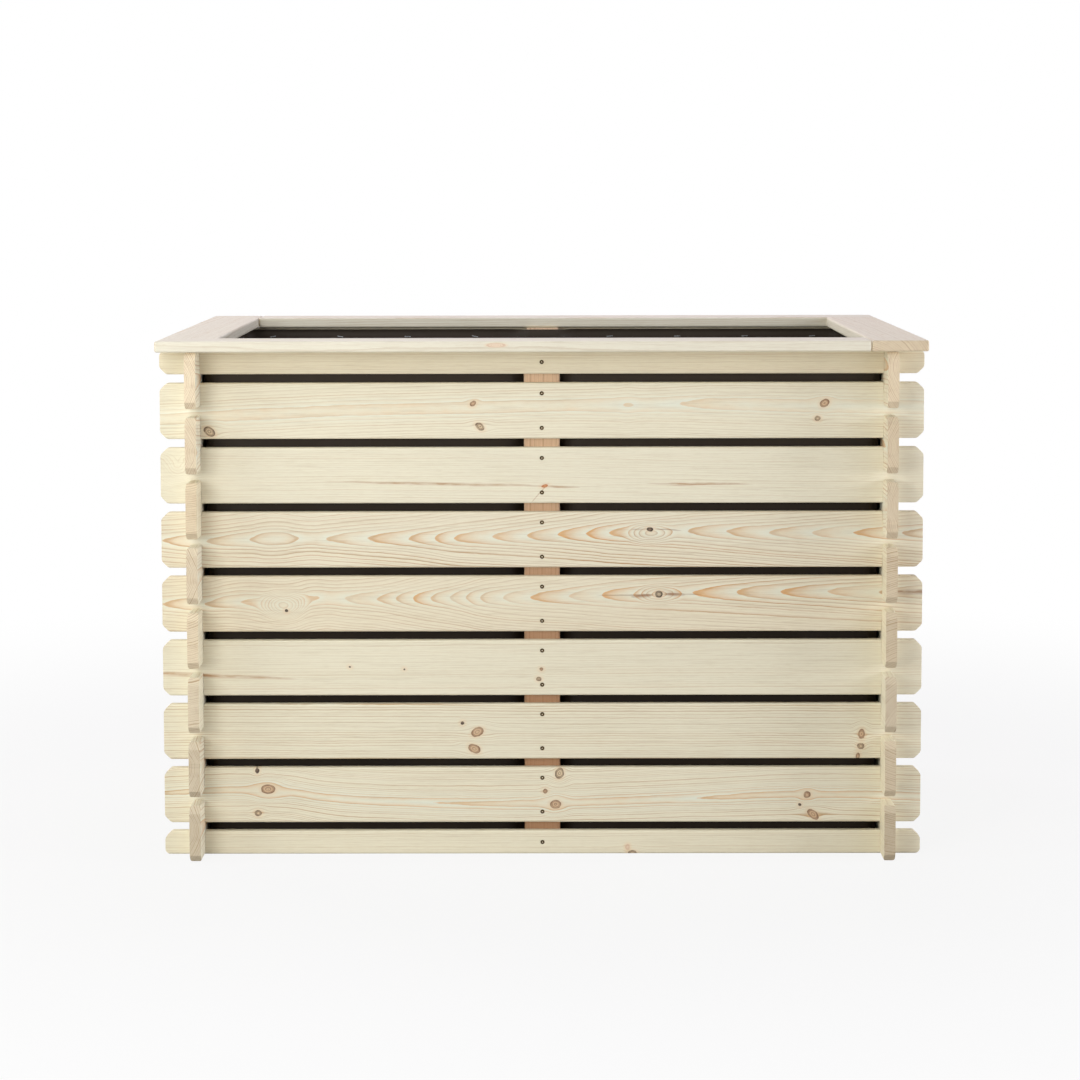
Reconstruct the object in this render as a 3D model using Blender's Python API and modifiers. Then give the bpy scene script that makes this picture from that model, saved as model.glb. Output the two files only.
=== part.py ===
"""Wooden raised bed: planed boards stacked log-cabin fashion, cross-lapped at the corners, under a flat rim.

Metres, +Z up. The origin is on the ground under the middle of the bed. The long walls run along X, and the
front faces -Y. A wall is drawn once, as if it were the front one, and turned to its side of the bed.
"""
import math

import bmesh
import bpy
from mathutils import Matrix

# Overall sizes
BED_LENGTH = 1.100
BED_WIDTH = 0.770
COURSES = 8

# Board stock
BOARD_HEIGHT = 0.081
BOARD_THICKNESS = 0.016
BOARD_GAP = 0.0125
ARRIS = 0.003
ARRIS_STEPS = 2

# Board ends: how far they stand out past the crossing wall, and their sawn-off corners
LONG_BOARD_OVERHANG = 0.042
SHORT_BOARD_OVERHANG = 0.054
CORNER_CLIP = 0.010
OUTER_CLIP = 0.005

# Flat rim
RIM_WIDTH = 0.081
RIM_THICKNESS = 0.016

# Battens up the middle of the long walls
BATTEN_WIDTH = 0.052
BATTEN_THICKNESS = 0.016

# Countersunk screws, and how far they bite into the second piece of wood
SCREW_HEAD_RADIUS = 0.003
SCREW_HEAD_DEPTH = 0.0018
SCREW_SHANK_RADIUS = 0.0015
SCREW_SINK = 0.0006
SCREW_POINT = 0.004
SCREW_SIDES = 10
BATTEN_SCREW_BITE = 0.012
BATTEN_SCREW_EDGE_INSET = 0.0155
RIM_SCREW_BITE = 0.018
RIM_SCREW_END_INSET = 0.150
LONG_RIM_SCREW_COUNT = 3
SHORT_RIM_SCREW_COUNT = 2

# Film lining
LINER_THICKNESS = 0.0008
LINER_CORNER_RADIUS = 0.020
LINER_CORNER_STEPS = 4
LINER_RAMP = 0.020
LINER_GROUND_GAP = 0.004
LINER_TOP_GAP = 0.003

# Gap left between pieces that touch, and how far a cutter runs past what it cuts
FIT = 0.0003
CUT_PAST = 0.010

# Heights that follow from the stack
PITCH = BOARD_HEIGHT + BOARD_GAP
STAGGER = PITCH / 2
LAP = BOARD_HEIGHT - STAGGER
HALF_BOARD_HEIGHT = LAP
NOTCH_DEPTH = (LAP + FIT) / 2
NOTCH_WIDTH = BOARD_THICKNESS + 2 * FIT
WALL_HEIGHT = (COURSES - 1) * PITCH + BOARD_HEIGHT
TOP_HALF_BOARD_FOOT = WALL_HEIGHT - HALF_BOARD_HEIGHT
RIM_FOOT = WALL_HEIGHT + FIT

# Middle planes of the walls, measured out from the middle of the bed
LONG_WALL_AT = BED_WIDTH / 2 - SHORT_BOARD_OVERHANG - BOARD_THICKNESS / 2
SHORT_WALL_AT = BED_LENGTH / 2 - LONG_BOARD_OVERHANG - BOARD_THICKNESS / 2
LONG_WALL_INSIDE = LONG_WALL_AT - BOARD_THICKNESS / 2
SHORT_WALL_INSIDE = SHORT_WALL_AT - BOARD_THICKNESS / 2

# Turn that takes the front wall to each side of the bed
TURNS = {"front": 0.0, "right": math.pi / 2, "back": math.pi, "left": -math.pi / 2}


def clear_scene():
    for item in list(bpy.data.objects):
        bpy.data.objects.remove(item, do_unlink=True)


def new_collection(name):
    collection = bpy.data.collections.new(name)
    bpy.context.scene.collection.children.link(collection)
    return collection


def new_material(name, colour, roughness, metallic=0.0):
    material = bpy.data.materials.new(name)
    material.use_nodes = True
    shader = material.node_tree.nodes["Principled BSDF"]
    shader.inputs["Base Color"].default_value = (*colour, 1.0)
    shader.inputs["Roughness"].default_value = roughness
    shader.inputs["Metallic"].default_value = metallic
    return material


clear_scene()
PARTS = new_collection("raised_bed")
CUTTERS = new_collection("cutters")

PINE_BOARD = new_material("pine_board", (0.76, 0.66, 0.47), 0.60)
PINE_RIM = new_material("pine_rim", (0.80, 0.71, 0.53), 0.60)
PINE_BATTEN = new_material("pine_batten", (0.62, 0.44, 0.29), 0.65)
ZINC_SCREW = new_material("zinc_screw", (0.45, 0.42, 0.36), 0.35, 1.0)
BLACK_FILM = new_material("black_film", (0.018, 0.016, 0.015), 0.55)


def add_part(name, mesh, material, place=None):
    """Puts a piece among the parts. Copies share their mesh, so the material is linked to the object."""
    piece = bpy.data.objects.new(name, mesh)
    PARTS.objects.link(piece)
    if not mesh.materials:
        mesh.materials.append(material)
    piece.material_slots[0].link = "OBJECT"
    piece.material_slots[0].material = material
    piece.matrix_world = place or Matrix.Identity(4)
    return piece


def add_cutter(name, shape):
    """Puts a cutting shape among the cutters, where it isn't rendered."""
    mesh = bpy.data.meshes.new(name)
    shape.to_mesh(mesh)
    shape.free()
    cutter = bpy.data.objects.new(name, mesh)
    CUTTERS.objects.link(cutter)
    cutter.hide_render = True
    cutter.display_type = "WIRE"
    return cutter


def finished_mesh(piece, name):
    """Returns an object's mesh with its modifiers applied, and removes the object."""
    graph = bpy.context.evaluated_depsgraph_get()
    mesh = bpy.data.meshes.new_from_object(piece.evaluated_get(graph))
    mesh.name = name
    bpy.data.objects.remove(piece, do_unlink=True)
    return mesh


def carved_mesh(name, shape, cutters, joined=()):
    """Returns the mesh of a shape with some solids joined to it, and then every cutter taken out of it."""
    blank = add_cutter(name + "_blank", shape)
    for operation, others in (("UNION", joined), ("DIFFERENCE", cutters)):
        for other in others:
            change = blank.modifiers.new(other.name, "BOOLEAN")
            change.operation = operation
            change.solver = "EXACT"
            change.object = other
    return finished_mesh(blank, name)


def gather(mesh, places):
    """Returns one shape that holds a copy of the mesh at each place."""
    group = bmesh.new()
    for place in places:
        first = len(group.verts)
        group.from_mesh(mesh)
        group.verts.ensure_lookup_table()
        bmesh.ops.transform(group, matrix=place, verts=group.verts[first:])
    return group


def wall_place(side, x=0.0, y=0.0, z=0.0):
    """Returns the place of a point of the front wall once the wall is turned to its side of the bed."""
    return Matrix.Rotation(TURNS[side], 4, "Z") @ Matrix.Translation((x, y, z))


def planed_box(length, thickness, height, rounded_axes):
    """Returns a box standing on Z = 0, with rounded arrises on its edges along the given axes."""
    box = bmesh.new()
    place = Matrix.Translation((0, 0, height / 2)) @ Matrix.Diagonal((length, thickness, height, 1))
    bmesh.ops.create_cube(box, size=1.0, matrix=place)
    rounded = []
    for edge in box.edges:
        run = edge.verts[1].co - edge.verts[0].co
        axis = max(range(3), key=lambda i: abs(run[i]))
        if "XYZ"[axis] in rounded_axes:
            rounded.append(edge)
    bmesh.ops.bevel(box, geom=rounded, offset=ARRIS, offset_type="OFFSET", segments=ARRIS_STEPS, profile=0.5,
                    affect="EDGES", material=-1)
    return box


def saw_off(shape, point, direction):
    """Takes away what lies beyond a plane and closes the cut with one face."""
    geometry = shape.verts[:] + shape.edges[:] + shape.faces[:]
    cut = bmesh.ops.bisect_plane(shape, geom=geometry, plane_co=point, plane_no=direction, clear_outer=True)
    edges = [item for item in cut["geom_cut"] if isinstance(item, bmesh.types.BMEdge)]
    bmesh.ops.edgeloop_fill(shape, edges=edges)


def clip_corners(board, length, height, clips):
    """Saws a board's end corners off at 45 degrees, by a low clip at its foot and a high one above."""
    low, high = clips
    for end in (-1, 1):
        saw_off(board, (end * (length / 2 - low), 0, 0), (end, 0, -1))
        saw_off(board, (end * (length / 2 - high), 0, height), (end, 0, 1))


def notch_cutter(name, crossings, edges):
    """Returns the cutter of a board's laps: a slot at each crossing, for each (edge height, way in)."""
    slots = bmesh.new()
    for x in crossings:
        for edge_height, inward in edges:
            low = edge_height + min(inward * NOTCH_DEPTH, -inward * CUT_PAST)
            high = edge_height + max(inward * NOTCH_DEPTH, -inward * CUT_PAST)
            size = Matrix.Diagonal((NOTCH_WIDTH, BOARD_THICKNESS + 2 * CUT_PAST, high - low, 1))
            bmesh.ops.create_cube(slots, size=1.0, matrix=Matrix.Translation((x, 0, (low + high) / 2)) @ size)
    return add_cutter(name, slots)


def turned_mesh(name, profile):
    """Revolves a profile of (radius, height) points, given from the top down, about Z."""
    outline = bpy.data.meshes.new(name)
    links = [(i, i + 1) for i in range(len(profile) - 1)]
    outline.from_pydata([(radius, 0.0, height) for radius, height in profile], links, [])
    turned = bpy.data.objects.new(name, outline)
    CUTTERS.objects.link(turned)
    turn = turned.modifiers.new("Turn", "SCREW")
    turn.steps = SCREW_SIDES
    turn.render_steps = SCREW_SIDES
    turn.use_merge_vertices = True
    turn.merge_threshold = FIT / 10
    return finished_mesh(turned, name)


def screw_mesh(name, length, clearance=0.0):
    """Returns a countersunk screw sunk into a face at Z = 0, or the hole that clears it, open past it."""
    head = SCREW_HEAD_RADIUS + clearance
    shank = SCREW_SHANK_RADIUS + clearance
    top = CUT_PAST if clearance else -SCREW_SINK
    tip = -SCREW_SINK - length - clearance
    profile = [(0.0, top), (head, top)]
    if clearance:
        profile.append((head, -SCREW_SINK))
    profile += [(shank, -SCREW_SINK - SCREW_HEAD_DEPTH - clearance), (shank, tip + SCREW_POINT), (0.0, tip)]
    return turned_mesh(name, profile)


# Batten screws lie along Y, driven in from the wall's outer face, and rim screws stand upright
INTO_WALL = Matrix.Rotation(math.pi / 2, 4, "X")
FULL_BOARD_SCREWS = [BATTEN_SCREW_EDGE_INSET, BOARD_HEIGHT - BATTEN_SCREW_EDGE_INSET]
HALF_BOARD_SCREWS = [HALF_BOARD_HEIGHT / 2]
BATTEN_SCREW_LENGTH = BOARD_THICKNESS + FIT + BATTEN_SCREW_BITE - SCREW_SINK
RIM_SCREW_LENGTH = RIM_THICKNESS + FIT + RIM_SCREW_BITE - SCREW_SINK

BATTEN_SCREW = screw_mesh("batten_screw", BATTEN_SCREW_LENGTH)
BATTEN_SCREW_HOLE = screw_mesh("batten_screw_hole", BATTEN_SCREW_LENGTH, FIT)
RIM_SCREW = screw_mesh("rim_screw", RIM_SCREW_LENGTH)
RIM_SCREW_HOLE = screw_mesh("rim_screw_hole", RIM_SCREW_LENGTH, FIT)


def rim_run(wall_span):
    """Returns the length and the middle of a rim board, which leaves room for the next one at its far end."""
    taken = RIM_WIDTH + FIT
    return wall_span - taken, -taken / 2


def rim_screw_places(wall_span, count):
    """Returns where the rim screws stand along a wall."""
    length, middle = rim_run(wall_span)
    pitch = (length - 2 * RIM_SCREW_END_INSET) / (count - 1)
    return [middle + (i - (count - 1) / 2) * pitch for i in range(count)]


LONG_RIM_SCREW_PLACES = rim_screw_places(BED_LENGTH, LONG_RIM_SCREW_COUNT)
SHORT_RIM_SCREW_PLACES = rim_screw_places(BED_WIDTH, SHORT_RIM_SCREW_COUNT)


def board_mesh(name, length, height, clips, crossings, notched_edges, holes):
    """Returns one wall board, standing on Z = 0 with its outer face at -Y. Its clips are (low, high)."""
    board = planed_box(length, BOARD_THICKNESS, height, "X")
    clip_corners(board, length, height, clips)
    notches = notch_cutter(name + "_notches", crossings, notched_edges)
    return carved_mesh(name, board, [notches] + holes)


def batten_screw_holes(name, heights):
    """Returns the cutter of a long board's countersunk holes."""
    places = [Matrix.Translation((0, -BOARD_THICKNESS / 2, z)) @ INTO_WALL for z in heights]
    return add_cutter(name + "_batten_holes", gather(BATTEN_SCREW_HOLE, places))


def rim_screw_holes(name, board_foot, places):
    """Returns the cutter of the holes that rim screws need in the top edge of a wall's highest board."""
    rim_top = RIM_FOOT + RIM_THICKNESS - board_foot
    holes = gather(RIM_SCREW_HOLE, [Matrix.Translation((x, 0, rim_top)) for x in places])
    return add_cutter(name + "_rim_holes", holes)


def build_long_walls():
    """The front and back walls: a half board at the foot, full boards, and a half board under the rim."""
    crossings = (-SHORT_WALL_AT, SHORT_WALL_AT)
    low_edge, high_edge, half_high_edge = (0.0, 1), (BOARD_HEIGHT, -1), (HALF_BOARD_HEIGHT, -1)
    full_holes = [batten_screw_holes("long_board", FULL_BOARD_SCREWS)]
    foot_holes = [batten_screw_holes("foot_half_board", HALF_BOARD_SCREWS)]
    top_holes = [batten_screw_holes("top_half_board", HALF_BOARD_SCREWS),
                 rim_screw_holes("top_half_board", TOP_HALF_BOARD_FOOT, LONG_RIM_SCREW_PLACES)]
    full = board_mesh("long_board", BED_LENGTH, BOARD_HEIGHT, (CORNER_CLIP, CORNER_CLIP), crossings,
                      [low_edge, high_edge], full_holes)
    foot = board_mesh("foot_half_board", BED_LENGTH, HALF_BOARD_HEIGHT, (OUTER_CLIP, CORNER_CLIP), crossings,
                      [half_high_edge], foot_holes)
    top = board_mesh("top_half_board", BED_LENGTH, HALF_BOARD_HEIGHT, (CORNER_CLIP, OUTER_CLIP), crossings,
                     [low_edge], top_holes)
    for side in ("front", "back"):
        add_part(side + "_half_board_bottom", foot, PINE_BOARD, wall_place(side, y=-LONG_WALL_AT))
        for course in range(COURSES - 1):
            add_part(f"{side}_board_{course + 1}", full, PINE_BOARD,
                     wall_place(side, y=-LONG_WALL_AT, z=STAGGER + course * PITCH))
        add_part(side + "_half_board_top", top, PINE_BOARD,
                 wall_place(side, y=-LONG_WALL_AT, z=TOP_HALF_BOARD_FOOT))


def build_short_walls():
    """The left and right walls: full boards from the ground up, each lapped over and under the long ones."""
    crossings = (-LONG_WALL_AT, LONG_WALL_AT)
    clips = (CORNER_CLIP, CORNER_CLIP)
    edges = [(0.0, 1), (BOARD_HEIGHT, -1)]
    top_foot = (COURSES - 1) * PITCH
    full = board_mesh("short_board", BED_WIDTH, BOARD_HEIGHT, clips, crossings, edges, [])
    top = board_mesh("short_top_board", BED_WIDTH, BOARD_HEIGHT, clips, crossings, edges,
                     [rim_screw_holes("short_top_board", top_foot, SHORT_RIM_SCREW_PLACES)])
    for side in ("left", "right"):
        for course in range(COURSES):
            mesh = top if course == COURSES - 1 else full
            add_part(f"{side}_board_{course + 1}", mesh, PINE_BOARD,
                     wall_place(side, y=-SHORT_WALL_AT, z=course * PITCH))


def batten_screw_heights():
    """Returns the height of every screw of a batten: one in each half board, two in each full one."""
    heights = list(HALF_BOARD_SCREWS)
    for course in range(COURSES - 1):
        heights += [STAGGER + course * PITCH + z for z in FULL_BOARD_SCREWS]
    return heights + [TOP_HALF_BOARD_FOOT + z for z in HALF_BOARD_SCREWS]


def build_battens():
    """The batten behind each long wall, one solid with the screws that bite into it through the boards."""
    middle = -LONG_WALL_INSIDE + FIT + BATTEN_THICKNESS / 2
    wall_face = -LONG_WALL_AT - BOARD_THICKNESS / 2
    places = [Matrix.Translation((0, wall_face - middle, z)) @ INTO_WALL for z in batten_screw_heights()]
    screws = add_cutter("batten_screws", gather(BATTEN_SCREW, places))
    batten = carved_mesh("batten", planed_box(BATTEN_WIDTH, BATTEN_THICKNESS, WALL_HEIGHT, "Z"), [], [screws])
    for side in ("front", "back"):
        add_part(side + "_batten", batten, PINE_BATTEN, wall_place(side, y=middle))


def rim_board_mesh(name, wall_span, wall_inset, screw_places):
    """Returns a rim board, with its screw holes over the middle of the wall below."""
    length, middle = rim_run(wall_span)
    places = [Matrix.Translation((x - middle, wall_inset, RIM_THICKNESS)) for x in screw_places]
    holes = add_cutter(name + "_holes", gather(RIM_SCREW_HOLE, places))
    return carved_mesh(name, planed_box(length, RIM_WIDTH, RIM_THICKNESS, "XYZ"), [holes])


def build_rim_side(side, board, wall_span, reach, wall_at, screw_places):
    """Lays one rim board along a wall, and its screws."""
    add_part("rim_" + side, board, PINE_RIM,
             wall_place(side, x=rim_run(wall_span)[1], y=RIM_WIDTH / 2 - reach, z=RIM_FOOT))
    for number, x in enumerate(screw_places, 1):
        add_part(f"rim_screw_{side}_{number}", RIM_SCREW, ZINC_SCREW,
                 wall_place(side, x=x, y=-wall_at, z=RIM_FOOT + RIM_THICKNESS))


def build_rim():
    """Four flat boards laid round the top, each butted against the side of the next."""
    long_board = rim_board_mesh("long_rim_board", BED_LENGTH, BED_WIDTH / 2 - RIM_WIDTH / 2 - LONG_WALL_AT,
                                LONG_RIM_SCREW_PLACES)
    short_board = rim_board_mesh("short_rim_board", BED_WIDTH, BED_LENGTH / 2 - RIM_WIDTH / 2 - SHORT_WALL_AT,
                                 SHORT_RIM_SCREW_PLACES)
    for side in ("front", "back"):
        build_rim_side(side, long_board, BED_LENGTH, BED_WIDTH / 2, LONG_WALL_AT, LONG_RIM_SCREW_PLACES)
    for side in ("left", "right"):
        build_rim_side(side, short_board, BED_WIDTH, BED_LENGTH / 2, SHORT_WALL_AT, SHORT_RIM_SCREW_PLACES)


def liner_corner(side_x, side_y, start):
    """Returns the points of a quarter turn in one corner of the film."""
    middle_x = side_x * (SHORT_WALL_INSIDE - FIT - LINER_THICKNESS / 2 - LINER_CORNER_RADIUS)
    middle_y = side_y * (LONG_WALL_INSIDE - FIT - LINER_THICKNESS / 2 - LINER_CORNER_RADIUS)
    angles = [start + i * math.pi / 2 / LINER_CORNER_STEPS for i in range(LINER_CORNER_STEPS + 1)]
    return [(middle_x + LINER_CORNER_RADIUS * math.cos(angle),
             middle_y + LINER_CORNER_RADIUS * math.sin(angle)) for angle in angles]


def liner_outline():
    """Returns the film's middle line in plan, anticlockwise, stepping in over each long wall's batten."""
    by_wall = LONG_WALL_INSIDE - FIT - LINER_THICKNESS / 2
    over_batten = by_wall - BATTEN_THICKNESS - FIT
    half = BATTEN_WIDTH / 2
    front = [(-half - LINER_RAMP, -by_wall), (-half, -over_batten), (half, -over_batten),
             (half + LINER_RAMP, -by_wall)]
    back = [(-x, -y) for x, y in front]
    right = liner_corner(1, -1, -math.pi / 2) + liner_corner(1, 1, 0.0)
    left = liner_corner(-1, 1, math.pi / 2) + liner_corner(-1, -1, math.pi)
    return front + right + back + left


def build_liner():
    """The film round the inside of the walls, open at its foot and its top."""
    film = bmesh.new()
    corners = [film.verts.new((x, y, LINER_GROUND_GAP)) for x, y in liner_outline()]
    edges = [film.edges.new((corners[i - 1], corners[i])) for i in range(len(corners))]
    raised = bmesh.ops.extrude_edge_only(film, edges=edges)
    upper = [item for item in raised["geom"] if isinstance(item, bmesh.types.BMVert)]
    bmesh.ops.translate(film, verts=upper, vec=(0, 0, WALL_HEIGHT - LINER_TOP_GAP - LINER_GROUND_GAP))
    bmesh.ops.recalc_face_normals(film, faces=film.faces)
    mesh = bpy.data.meshes.new("liner")
    film.to_mesh(mesh)
    film.free()
    wall = add_part("liner", mesh, BLACK_FILM).modifiers.new("Film", "SOLIDIFY")
    wall.thickness = LINER_THICKNESS
    wall.offset = 0.0
    wall.use_even_offset = True


build_long_walls()
build_short_walls()
build_battens()
build_rim()
build_liner()
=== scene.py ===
# %% [markdown]
# A raised bed in planed pine
#
# The bed is a stack of planed pine boards, notched into one another at the corners like the logs
# of a cabin, with a flat rim on top, a batten up the middle of each long wall and a black film
# inside. The CAD frame gives every piece its place. This lesson makes each piece again with finer
# edges, and gives it a wood that is made of numbers alone: year rings round a pith, knots that
# push the rings aside, and fibres too thin to count.

import math
import random
from functools import partialmethod

import bmesh
import bpy
from mathutils import Matrix, Vector, noise


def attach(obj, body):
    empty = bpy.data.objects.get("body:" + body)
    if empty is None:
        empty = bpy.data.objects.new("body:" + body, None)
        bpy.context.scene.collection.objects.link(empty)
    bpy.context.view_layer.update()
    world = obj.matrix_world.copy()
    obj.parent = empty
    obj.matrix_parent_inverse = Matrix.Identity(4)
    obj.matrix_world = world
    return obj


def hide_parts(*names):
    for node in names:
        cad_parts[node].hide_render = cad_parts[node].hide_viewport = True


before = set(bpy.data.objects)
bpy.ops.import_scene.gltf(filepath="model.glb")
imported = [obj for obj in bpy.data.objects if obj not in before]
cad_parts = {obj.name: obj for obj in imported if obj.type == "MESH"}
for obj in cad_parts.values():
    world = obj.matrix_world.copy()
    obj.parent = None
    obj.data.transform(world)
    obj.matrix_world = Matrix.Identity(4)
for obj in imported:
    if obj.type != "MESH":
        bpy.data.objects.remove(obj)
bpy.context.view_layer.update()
print("pieces in the frame:", len(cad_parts))

# %% [markdown]
# Sizes, in metres. They repeat the numbers of the CAD frame, so each new piece lies where the solid
# lay, and only roundings, bevels and folds are finer.

# %% Sizes
BED_LENGTH, BED_WIDTH, COURSES = 1.100, 0.770, 8
BOARD_HEIGHT, BOARD_THICKNESS, BOARD_GAP = 0.081, 0.016, 0.0125
LONG_WALL_AT, SHORT_WALL_AT = 0.323, 0.500
RIM_WIDTH, RIM_THICKNESS = 0.081, 0.016
BATTEN_WIDTH, BATTEN_THICKNESS = 0.052, 0.016
FIT = 0.0003

PITCH = BOARD_HEIGHT + BOARD_GAP
STAGGER = PITCH / 2
HALF_BOARD_HEIGHT = BOARD_HEIGHT - STAGGER
TOP_BOARD_FOOT = (COURSES - 1) * PITCH
WALL_HEIGHT = TOP_BOARD_FOOT + BOARD_HEIGHT
TOP_HALF_BOARD_FOOT = WALL_HEIGHT - HALF_BOARD_HEIGHT
RIM_FOOT = WALL_HEIGHT + FIT
RIM_TOP = RIM_FOOT + RIM_THICKNESS

LONG_SIDES = ("front", "back")
TURNS = {"front": 0.0, "right": math.pi / 2, "back": math.pi, "left": -math.pi / 2}
print("wall height:", round(WALL_HEIGHT, 4), "rim top:", round(RIM_TOP, 4))

# %% [markdown]
# The camera stands 4.2 metres before the front wall and looks down by five degrees. A long lens
# keeps the boards level, and a small vertical shift lowers the view without tilting the uprights.

# %% The camera
LENS, SHIFT_DOWN = 97.87, -0.100
CAMERA_AT, YAW, PITCH_DOWN, ROLL = (0.00837, -4.5439, 0.98399), -0.0026, 0.0868, -0.0018


def new_object(name, data, collection=None):
    """Puts data into the scene or a collection as an object."""
    made = bpy.data.objects.new(name, data)
    (collection or bpy.context.scene.collection).objects.link(made)
    return made


def looking(at, way):
    """The place of a camera or a lamp that looks a given way."""
    return Matrix.Translation(at) @ way.to_track_quat("-Z", "Y").to_matrix().to_4x4()


camera_data = bpy.data.cameras.new("studio_camera")
camera_data.lens, camera_data.shift_y = LENS, SHIFT_DOWN
camera = new_object("studio_camera", camera_data)
level = math.cos(PITCH_DOWN)
look = Vector((math.sin(YAW) * level, math.cos(YAW) * level, -math.sin(PITCH_DOWN)))
camera.matrix_world = looking(CAMERA_AT, look) @ Matrix.Rotation(ROLL, 4, "Z")
bpy.context.scene.camera = camera
print("camera lens:", LENS, "shift:", SHIFT_DOWN)

# %% [markdown]
# Helpers for shapes. Boxes, rounded edges and saw cuts are all that carpentry needs, and each is
# one bmesh operator.

# %% Helpers for shapes
def new_mesh(name, shape):
    mesh = bpy.data.meshes.new(name)
    shape.to_mesh(mesh)
    shape.free()
    return mesh


def add_box(shape, size, middle):
    place = Matrix.Translation(middle) @ Matrix.Diagonal((*size, 1))
    bmesh.ops.create_cube(shape, size=1.0, matrix=place)


def main_axis(direction):
    """The axis that a direction runs along most."""
    return "XYZ"[max(range(3), key=lambda i: abs(direction[i]))]


def edges_along(shape, axes):
    """The edges of a shape that run along the given axes."""
    return [edge for edge in shape.edges
            if main_axis(edge.verts[1].co - edge.verts[0].co) in axes]


def round_edges(shape, edges, radius, steps):
    bmesh.ops.bevel(shape, geom=edges, offset=radius, offset_type="OFFSET", segments=steps,
                    profile=0.5, affect="EDGES", material=-1)


def cut(shape, point, direction, **clearing):
    """Cuts a shape along a plane. Gives what lies in the cut."""
    geometry = shape.verts[:] + shape.edges[:] + shape.faces[:]
    return bmesh.ops.bisect_plane(shape, geom=geometry, plane_co=point, plane_no=direction,
                                  **clearing)["geom_cut"]


# %% [markdown]
# Helpers for pieces. A board is drawn standing on Z = 0 with its outer face towards -Y, and is then
# turned to its side of the bed. Modifiers cut it in the workshop. A finished piece keeps its place
# in its mesh and its object at the origin, so that patterns in Object coordinates stay where they
# are drawn.

# %% Helpers for workpieces
WORKSHOP = bpy.data.collections.new("workshop")
bpy.context.scene.collection.children.link(WORKSHOP)
SHARP_ANGLE, FLAT_FACE_WEIGHT = math.radians(50), 80
EASE, EASE_STEPS = 0.0004, 2


def workpiece(name, shape):
    """Puts a bmesh into the workshop as an object."""
    made = new_object(name, new_mesh(name, shape), WORKSHOP)
    made.hide_render = True
    return made


def worked_mesh(item):
    """The mesh of an object with its modifiers applied. The object goes."""
    graph = bpy.context.evaluated_depsgraph_get()
    mesh = bpy.data.meshes.new_from_object(item.evaluated_get(graph))
    mesh.name = item.name
    bpy.data.objects.remove(item, do_unlink=True)
    return mesh


def smooth_mesh(mesh):
    """Shades a mesh smooth over its bevels, and keeps its large faces flat."""
    mesh.polygons.foreach_set("use_smooth", [True] * len(mesh.polygons))
    mesh.set_sharp_from_angle(angle=SHARP_ANGLE)
    item = new_object(mesh.name, mesh, WORKSHOP)
    even = item.modifiers.new("Even", "WEIGHTED_NORMAL")
    even.keep_sharp, even.weight = True, FLAT_FACE_WEIGHT
    return worked_mesh(item)


def carved_mesh(name, blank, cutters, ease=EASE):
    """Takes every cutter out of a blank, then breaks the sharp edges."""
    item = workpiece(name, blank)
    for cutter in cutters:
        taken = item.modifiers.new(cutter.name, "BOOLEAN")
        taken.operation, taken.solver, taken.object = "DIFFERENCE", "EXACT", cutter
    if ease:
        soft = item.modifiers.new("Ease", "BEVEL")
        soft.width, soft.segments, soft.profile = ease, EASE_STEPS, 0.5
        soft.limit_method, soft.angle_limit = "ANGLE", SHARP_ANGLE
    return smooth_mesh(worked_mesh(item))


# %% Helpers for places and pieces
def wall_place(side, x=0.0, y=0.0, z=0.0):
    """The place of a point of the front wall, turned to a side of the bed."""
    return Matrix.Rotation(TURNS[side], 4, "Z") @ Matrix.Translation((x, y, z))


def gather(mesh, places):
    """One bmesh with a copy of the mesh at each place."""
    group = bmesh.new()
    for place in places:
        first = len(group.verts)
        group.from_mesh(mesh)
        group.verts.ensure_lookup_table()
        bmesh.ops.transform(group, matrix=place, verts=group.verts[first:])
    return group


def add_piece(name, mesh, material, nodes, place=None):
    """Makes a mesh a finished piece that stands for its CAD nodes."""
    own = mesh.copy()
    own.name = name
    own.transform(place or Matrix.Identity(4))
    own.materials.clear()
    own.materials.append(material)
    piece = new_object(name, own)
    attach(piece, "root")
    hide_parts(*nodes)
    return piece


# %% [markdown]
# The blank of a board. The planer rounds the arrises along a board. The end corners are sawn off
# afterwards at 45 degrees and sanded round. A saw cut is bisect_plane with the outer side cleared
# and the opening filled, and sanding is a few more cuts, tangent to a small circle.

# %% The blank of a board
ARRIS, ARRIS_STEPS = 0.003, 4
CORNER_CLIP, OUTER_CLIP = 0.010, 0.005
LONG_EASING, SHORT_EASING, WIDEST_EASING, CLIP_STEPS = 0.008, 0.0015, 1.7, 8


def planed_blank(length, thickness, height, rounded_axes):
    """A box standing on Z = 0, with rounded arrises along the given axes."""
    blank = bmesh.new()
    add_box(blank, (length, thickness, height), (0, 0, height / 2))
    round_edges(blank, edges_along(blank, rounded_axes), ARRIS, ARRIS_STEPS)
    return blank


def saw_off(blank, point, direction):
    """Takes away what lies beyond a plane, and closes the cut."""
    edges = [item for item in cut(blank, point, direction, clear_outer=True)
             if isinstance(item, bmesh.types.BMEdge)]
    if edges:
        bmesh.ops.edgeloop_fill(blank, edges=edges)


def clip_corner(blank, length, end, edge, inward, clip, easing):
    """Saws one end corner off, and eases the cut into the faces beside it."""
    easing = min(easing, WIDEST_EASING * clip)
    tangent = easing * math.tan(math.pi / 8)
    by_end = Vector((end * (length / 2 - easing), 0, edge + inward * (clip + tangent)))
    by_edge = Vector((end * (length / 2 - clip - tangent), 0, edge + inward * easing))
    for step in range(1, CLIP_STEPS):
        angle = step * math.pi / 2 / CLIP_STEPS
        direction = Vector((end * math.cos(angle), 0, -inward * math.sin(angle)))
        middle = by_end if step <= CLIP_STEPS / 2 else by_edge
        saw_off(blank, middle + easing * direction, direction)


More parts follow.
